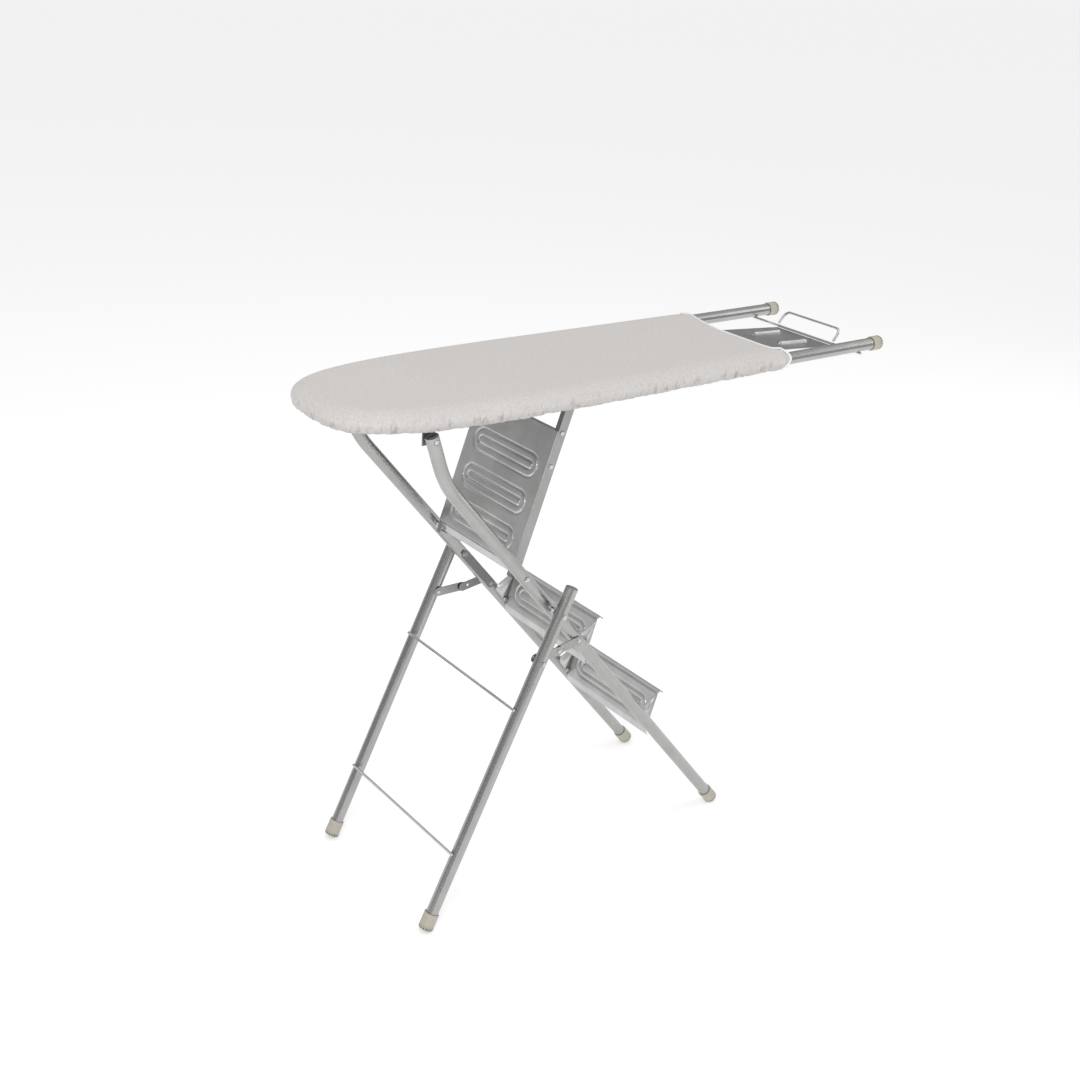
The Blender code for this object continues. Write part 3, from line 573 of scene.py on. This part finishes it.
def plan_half(inset, spacing):
    """Evenly spaced plan points on the +Y side, from the tail corner's side to the nose tip."""
    dense = []
    shoulder = NOSE_X + NOSE_LENGTH
    for i in range(13):
        angle = math.radians(62.0 + 28.0 * i / 12)
        reach = TAIL_CORNER - inset
        dense.append((TAIL_X - TAIL_CORNER + reach * math.cos(angle),
                      TAIL_HALF - TAIL_CORNER + reach * math.sin(angle)))
    for i in range(1, 40):
        share = i / 40
        start = TAIL_X - TAIL_CORNER
        dense.append((start + (shoulder - start) * share,
                      TAIL_HALF - inset + (HALF_WIDE - TAIL_HALF) * share))
    for i in range(1201):
        angle = math.pi / 2 * i / 1200
        dense.append((shoulder - (NOSE_LENGTH - inset) * math.sin(angle) ** (2 / NOSE_POWER),
                      (HALF_WIDE - inset) * max(0.0, math.cos(angle)) ** (2 / NOSE_POWER)))
    lengths = [0.0]
    for a, b in zip(dense, dense[1:]):
        lengths.append(lengths[-1] + math.dist(a, b))
    points = []
    count = int(round(lengths[-1] / spacing))
    k = 0                        # the dense stretch that holds the wanted length
    for i in range(count + 1):
        want = lengths[-1] * i / count
        while k < len(lengths) - 2 and lengths[k + 1] < want:
            k += 1
        share = (want - lengths[k]) / max(1e-9, lengths[k + 1] - lengths[k])
        points.append((dense[k][0] + (dense[k + 1][0] - dense[k][0]) * share,
                       dense[k][1] + (dense[k + 1][1] - dense[k][1]) * share))
    return points


def gather(distance, low):
    """Outward push of the gathered fabric: low is 0 where the edge is smooth and 1 at the hem."""
    puff = noise.noise(Vector((distance * 30.0, low * 0.8, 4.7)))
    warp = 0.5 * noise.noise(Vector((distance * 20.0, low * 1.6, 2.9)))
    pleat = 1.0 - 2.6 * abs(noise.noise(Vector((distance * 78.0 + warp, low * 1.1, 1.3))))
    fine = noise.noise(Vector((distance * 190.0 + warp, low * 2.0, 8.8)))
    return low ** 0.9 * (0.0012 * puff + 0.0019 * pleat + 0.0008 * fine)


def hem_line(distance):
    """Height of the hem above its lowest line, pulled up and down by the elastic."""
    slow = noise.noise(Vector((distance * 9.0, 3.1, 0.0)))
    fast = noise.noise(Vector((distance * 75.0, 7.7, 0.0)))
    return 0.0012 + 0.0012 * slow + 0.0010 * fast


def tail_edge(y):
    """X of the cover's top edge at the tail: nearly straight, and flared on the far side."""
    flat_half = TAIL_HALF - TAIL_CORNER
    if y < 0:
        share = max(0.0, (-y - 0.100) / 0.045)
        return TAIL_MIDDLE + 0.011 * share ** 2
    share = min(1.0, max(0.0, (y - 0.015) / (flat_half - 0.015)))
    corner = max(0.0, y - flat_half)
    drop = TAIL_CORNER - math.sqrt(max(0.0, TAIL_CORNER ** 2 - corner ** 2))
    return TAIL_MIDDLE + (TAIL_X - TAIL_MIDDLE) * share ** 1.3 - drop


def corner_bulge(distance, low):
    """How far the last stretch of the skirt reaches towards the tail, at a share of its height."""
    return 0.016 * math.sin(math.pi * min(1.0, 0.08 + 0.92 * low)) * math.exp(-(distance / 0.022) ** 2)


def skirt_section():
    """(inset, drop below the top, share of gathering) from the top round to under the hem."""
    section = []
    for step in range(11):
        angle = math.pi / 2 * step / 10
        section.append((EDGE_IN * (1 - math.sin(angle)), EDGE_DOWN * (1 - math.cos(angle)),
                        0.16 * (step / 10) ** 2))
    wall = COVER_TOP - HEM_Z - EDGE_DOWN
    for step in range(1, 10):
        share = step / 9
        section.append((0.0055 * share ** 2.4, EDGE_DOWN + wall * share, 0.16 + 0.84 * share ** 0.8))
    for depth, rise in ((0.0100, -0.0026), (0.0155, -0.0048), (0.0220, -0.0060)):
        section.append((depth, EDGE_DOWN + wall + rise, 1.0))
    return section


def edge_line():
    """Outline points, the distance round to each, and the outward direction there."""
    half = plan_half(0.0, EDGE_PITCH)
    outline = half + [(x, -y) for x, y in reversed(half[:-1])]
    travelled = [0.0]
    for a, b in zip(outline, outline[1:]):
        travelled.append(travelled[-1] + math.dist(a, b))
    outward = []
    for i in range(len(outline)):
        before = outline[max(0, i - 1)]
        after = outline[min(len(outline) - 1, i + 1)]
        tangent = Vector((after[0] - before[0], after[1] - before[1])).normalized()
        outward.append(Vector((-tangent.y, tangent.x)))
    if outward[0].y < 0:
        outward = [-n for n in outward]
    return outline, travelled, outward


def build_cover():
    """Fitted cover: flat top, rounded edge, gathered skirt and a hem pulled under the board."""
    outline, travelled, outward = edge_line()
    total = travelled[-1]
    last = len(outline) - 1
    bm = bmesh.new()
    rows = []
    wall = COVER_TOP - HEM_Z
    for inset, down, low in skirt_section():
        row = []
        for i, (x, y) in enumerate(outline):
            push = gather(travelled[i], low) - 0.0004
            bulge = corner_bulge(min(travelled[i], total - travelled[i]), down / wall)
            lift = hem_line(travelled[i]) * low
            row.append(bm.verts.new((x + outward[i].x * (push - inset) + bulge,
                                     y + outward[i].y * (push - inset),
                                     COVER_TOP - down + lift)))
        rows.append(row)
    grid_faces(bm, rows)

    across = 40
    nose = last // 2
    lines = []
    for i in range(nose):
        right = rows[0][i]
        left = rows[0][last - i]
        line = [right]
        for j in range(1, across):
            share = j / across
            x = right.co.x + (left.co.x - right.co.x) * share
            y = right.co.y + (left.co.y - right.co.y) * share
            wave = 0.0024 * share * (1 - share) * noise.noise(Vector((x * 9.0, y * 14.0, 2.2)))
            line.append(bm.verts.new((x, y, COVER_TOP + wave)))
        lines.append(line + [left])
    grid_faces(bm, lines)
    for a, b in zip(lines[-1], lines[-1][1:]):
        bm.faces.new((a, b, rows[0][nose]))
    tail_lines = [lines[0]]
    for step in range(1, 7):
        share = step / 6
        row = []
        for vert in lines[0]:
            x, y = vert.co.x, vert.co.y
            reach = max(0.0002, tail_edge(y) - x)
            row.append(bm.verts.new((x + reach * share, y, vert.co.z)))
        tail_lines.append(row)
    grid_faces(bm, tail_lines)
    for end in (0, -1):
        column = [row[0 if end == 0 else last] for row in rows]
        rim = [line[end] for line in tail_lines]
        fan = list(reversed(rim[1:]))
        for k in range(3):
            bm.faces.new((fan[0], column[k + 1], column[k]))
        for k in range(len(fan) - 1):
            bm.faces.new((fan[k], fan[k + 1], column[0]))
    cover = piece("cotton_cover", bm, CLOTH, "board", 75.0)
    thicken(cover, 0.0008, -1.0)
    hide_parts("board_cover")
    return cover


def build_pad():
    """Felt layer between the deck and the cover, rounded at its edge."""
    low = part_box("board_pad")[0][2]
    high = COVER_TOP - 0.0022
    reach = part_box("board_pad")[1][1]
    bm = bmesh.new()
    rows = []
    base = plan_half(0.0, 0.012)
    for inset, z in ((0.0102, low), (0.0104, low + 0.0010), (0.0150, low + 0.0028), (0.0260, high)):
        scale = (reach + 0.0100 - inset) / HALF_WIDE
        half = [(min(x, TAIL_MIDDLE - 0.004) + inset * max(0.0, x / NOSE_X), y * scale)
                for x, y in base]
        whole = half + [(x, -y) for x, y in reversed(half[:-1])]
        rows.append([bm.verts.new((x, y, z)) for x, y in whole])
    grid_faces(bm, rows, closed=True)
    bm.faces.new(rows[-1])
    bm.faces.new(list(reversed(rows[0])))
    pad = piece("felt_pad", bm, FELT, "board", 40.0)
    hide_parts("board_pad")


PIPING_RADIUS = 0.0023
CORD_RADIUS = 0.0011


def build_piping():
    """White piping along the tail opening, round both corners and down to the hem."""
    start = plan_half(0.0, EDGE_PITCH)[0]
    wall = COVER_TOP - HEM_Z
    ends = {}
    for side in (-1.0, 1.0):
        line = []
        for i in range(13):
            y = side * (start[1] - EDGE_IN * 0.9) * i / 12
            wave = 0.0005 * noise.noise(Vector((0.0, y * 40.0, 1.0)))
            line.append((tail_edge(y) + 0.0010, y, COVER_TOP - 0.0008 + wave))
        for inset, down, _ in skirt_section()[2:-1]:
            x = start[0] + corner_bulge(0.0, down / wall) + 0.0012
            line.append((x, side * (start[1] - inset + 0.0004), COVER_TOP - down + 0.0004))
        ends[side] = line
    path = list(reversed(ends[-1.0])) + ends[1.0][1:]
    piping = wire("cover_piping", path, PIPING_RADIUS, PIPING, "board")
    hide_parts("cover_binding")
    return piping, ends[-1.0][-2]


def build_knot(tail):
    """Knotted end of the drawstring, hanging just under the rail at the near corner."""
    x, y, z = tail
    centre = Vector((x + 0.0120, y + 0.0040, z + 0.0010))
    points = []
    for i in range(26):
        angle = 2 * math.pi * i / 12
        points.append((centre.x + 0.0030 * math.cos(angle), centre.y + 0.0024 * math.sin(angle * 1.5),
                       centre.z + 0.0026 * math.sin(angle + 0.6)))
    points += [(centre.x + 0.0040, centre.y - 0.0020, centre.z - 0.0030),
               (centre.x + 0.0065, centre.y - 0.0030, centre.z - 0.0052)]
    knot = wire("drawstring_knot", [(x, y, z + 0.001)] + points, CORD_RADIUS, PIPING, "board")
    return knot


# ---------------------------------------------------------------- iron rest plate
REST_HALF = 0.072
REST_BEND_Z = 0.9060
REST_PITCH = 0.0018
RIB_Y = 0.034
RIB_START = 0.4035
RIB_END = 0.4705
RIB_HALF = 0.0042
RIB_HIGH = 0.0060


def rest_height(x, y, start, end):
    """Pressed relief of the plate: two round-topped ribs and shallow folded facets."""
    height = 0.0
    for side in (-1.0, 1.0):
        off = abs(y - side * RIB_Y)
        beyond = max(RIB_START - x, x - RIB_END, 0.0)
        distance = math.hypot(off, beyond)
        if distance < RIB_HALF:
            height = max(height, RIB_HIGH * math.sqrt(1 - (distance / RIB_HALF) ** 2) ** 0.8)
    share = (x - start) / (end - start)
    fold = min(abs(y) / REST_HALF, 1.0)
    facet = max(0.0, min(share * 1.6, (1 - share) * 1.6, 1 - fold * 0.8)) - 0.25
    return height - 0.0035 * max(0.0, facet)


def build_rest_plate():
    """Level strip under the cover, then a sloping plate pressed with two ribs and facets."""
    low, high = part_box("rest_plate")
    top_start = Vector((low[0], 0.0, high[2]))
    bend = Vector((low[0] + 0.021, 0.0, REST_BEND_Z))
    end = Vector((high[0], 0.0, low[2] + 0.0012))
    across = between(-REST_HALF, REST_HALF, REST_PITCH)
    bm = bmesh.new()
    rows = []
    for x in (top_start.x, top_start.x + 0.015):
        rows.append([bm.verts.new((x, y, top_start.z - 0.0004)) for y in across])
    for x in between(bend.x, end.x, REST_PITCH):
        slope = bend.z + (end.z - bend.z) * (x - bend.x) / (end.x - bend.x)
        rows.append([bm.verts.new((x, y, slope + rest_height(x, y, bend.x, end.x)))
                     for y in across])
    grid_faces(bm, rows)
    plate = piece("iron_rest_plate", bm, PLATE, "board", 28.0)
    thicken(plate, 0.0010, -1.0)
    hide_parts("rest_plate")


# ---------------------------------------------------------------- build
build_camera()
build_stage()
paint_nodes()
build_caps()
build_tube_plugs()
build_platform_panel()
build_steps()
cover_piece = build_cover()
build_pad()
piping_piece, piping_end = build_piping()
knot_piece = build_knot(piping_end)
build_rest_plate()
